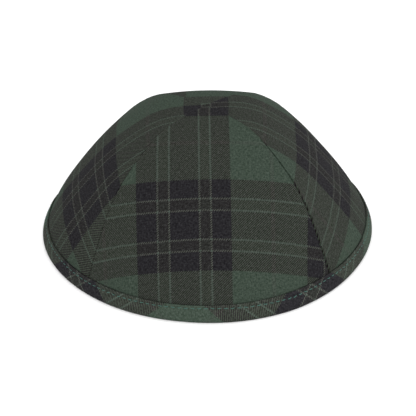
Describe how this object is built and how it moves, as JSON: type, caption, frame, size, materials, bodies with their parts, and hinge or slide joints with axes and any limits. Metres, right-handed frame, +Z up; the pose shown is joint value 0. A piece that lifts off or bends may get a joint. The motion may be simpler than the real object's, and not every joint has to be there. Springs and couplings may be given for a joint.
{
  "type": "kippah",
  "caption": "Round-rimmed skullcap sewn from three-cornered crown panels that meet at the top, with a narrow stitched band round the rim, in tartan twill.",
  "frame": {"origin": "on the surface the hat rests on, under the middle of its rim", "axes": "+Z up through the top of the crown, -Y towards the front panel, +X to the viewer's right"},
  "size_m": [0.1802, 0.1758, 0.0732],
  "materials": {
    "crown_cloth": "matt brushed twill, black and green tartan",
    "band_cloth": "matt brushed twill, black and green tartan cut on the bias"
  },
  "bodies": {
    "root": {"panel_front": "crown_cloth", "panel_right": "crown_cloth", "panel_back": "crown_cloth", "panel_left": "crown_cloth", "rim_band": "band_cloth"}
  },
  "joints": []
}
